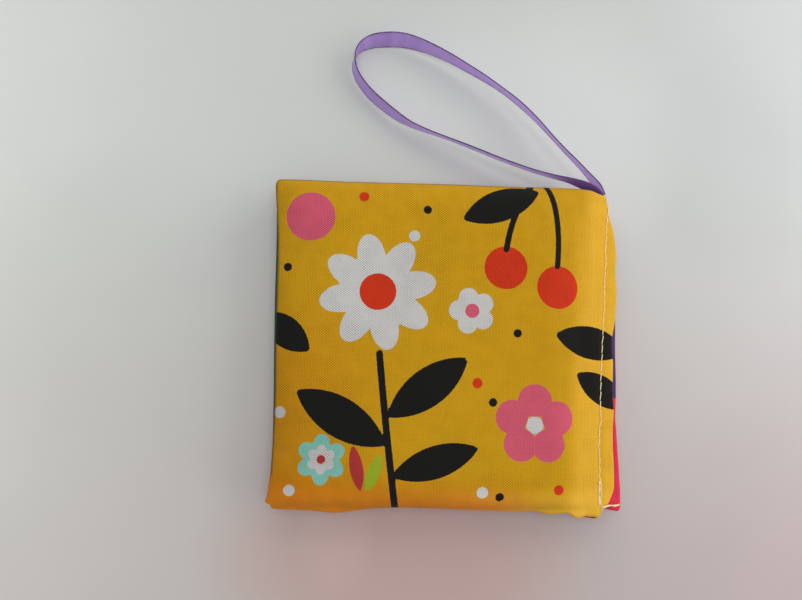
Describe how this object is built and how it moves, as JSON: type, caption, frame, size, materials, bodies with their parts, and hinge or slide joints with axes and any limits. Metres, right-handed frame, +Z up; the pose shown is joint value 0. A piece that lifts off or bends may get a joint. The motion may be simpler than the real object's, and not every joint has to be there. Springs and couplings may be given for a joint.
{
  "type": "cloth book",
  "caption": "Square soft cloth baby book with padded leaves stitched along one edge and a satin ribbon loop at the spine.",
  "frame": {"origin": "on the table under the middle of the closed book, measured without the ribbon", "axes": "+X towards the sewn edge, +Y towards the end with the ribbon, +Z up through the leaves"},
  "size_m": [0.1239, 0.1746, 0.0152],
  "materials": {
    "yellow_cloth": "printed twill, matt",
    "green_cloth": "printed twill, matt",
    "purple_cloth": "printed twill, matt",
    "pink_cloth": "printed twill, matt",
    "red_cloth": "printed twill, matt",
    "wadding": "soft polyester wadding",
    "crinkle_film": "thin crackling film",
    "thread": "white sewing thread",
    "satin_ribbon": "satin, soft sheen"
  },
  "bodies": {
    "sewn_block": {"front_cover_sewn_edge": "yellow_cloth", "leaf_1_sewn_edge": "green_cloth", "leaf_2_sewn_edge": "purple_cloth", "leaf_3_sewn_edge": "pink_cloth", "back_cover_front_panel": "red_cloth", "back_cover_back_panel": "yellow_cloth", "back_cover_wadding": "wadding", "back_cover_crinkle_film": "crinkle_film", "back_cover_sewn_edge": "red_cloth", "needle_thread": "thread", "bobbin_thread": "thread", "ribbon_sewn_ends": "satin_ribbon", "ribbon_loop": "satin_ribbon"},
    "front_cover": {"front_cover_front_panel": "yellow_cloth", "front_cover_back_panel": "green_cloth", "front_cover_wadding": "wadding", "front_cover_crinkle_film": "crinkle_film"},
    "leaf_1": {"leaf_1_front_panel": "green_cloth", "leaf_1_back_panel": "purple_cloth", "leaf_1_wadding": "wadding", "leaf_1_crinkle_film": "crinkle_film"},
    "leaf_2": {"leaf_2_front_panel": "purple_cloth", "leaf_2_back_panel": "pink_cloth", "leaf_2_wadding": "wadding", "leaf_2_crinkle_film": "crinkle_film"},
    "leaf_3": {"leaf_3_front_panel": "pink_cloth", "leaf_3_back_panel": "red_cloth", "leaf_3_wadding": "wadding", "leaf_3_crinkle_film": "crinkle_film"}
  },
  "joints": [
    {"name": "front_cover_turn", "type": "hinge", "parent": "sewn_block", "child": "front_cover", "pos_m": [0.053, 0, 0.01295], "axis": [0, 1, 0], "range_deg": [0, 165]},
    {"name": "leaf_1_turn", "type": "hinge", "parent": "sewn_block", "child": "leaf_1", "pos_m": [0.053, 0, 0.01295], "axis": [0, 1, 0], "range_deg": [0, 165]},
    {"name": "leaf_2_turn", "type": "hinge", "parent": "sewn_block", "child": "leaf_2", "pos_m": [0.053, 0, 0.01295], "axis": [0, 1, 0], "range_deg": [0, 165]},
    {"name": "leaf_3_turn", "type": "hinge", "parent": "sewn_block", "child": "leaf_3", "pos_m": [0.053, 0, 0.01295], "axis": [0, 1, 0], "range_deg": [0, 165]}
  ],
  "couplings": [
    {"joint": "leaf_1_turn", "follows": "front_cover_turn", "ratio": 0.75},
    {"joint": "leaf_2_turn", "follows": "front_cover_turn", "ratio": 0.5},
    {"joint": "leaf_3_turn", "follows": "front_cover_turn", "ratio": 0.25}
  ]
}
